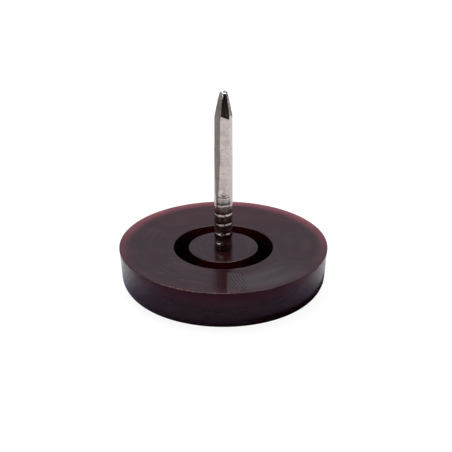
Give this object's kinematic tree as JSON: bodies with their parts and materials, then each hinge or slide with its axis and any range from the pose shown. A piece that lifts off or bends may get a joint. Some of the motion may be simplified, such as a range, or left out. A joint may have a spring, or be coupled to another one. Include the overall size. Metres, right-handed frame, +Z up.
{
  "type": "furniture glide",
  "caption": "Round plastic furniture glide with a drafted wall, a ring groove round a flush centre boss, and a steel nail standing up from the boss to be driven into a chair or table leg.",
  "frame": {"origin": "centre of the sliding face, on the floor that the glide stands on", "axes": "+Z up along the nail towards its point, -Y towards the side that the picture shows in front"},
  "size_m": [0.025, 0.025, 0.0261],
  "materials": {
    "brown_plastic": "semi-gloss moulded",
    "plated_steel": "bright plated"
  },
  "bodies": {
    "root": {"glide_base": "brown_plastic", "nail": "plated_steel"}
  },
  "joints": []
}
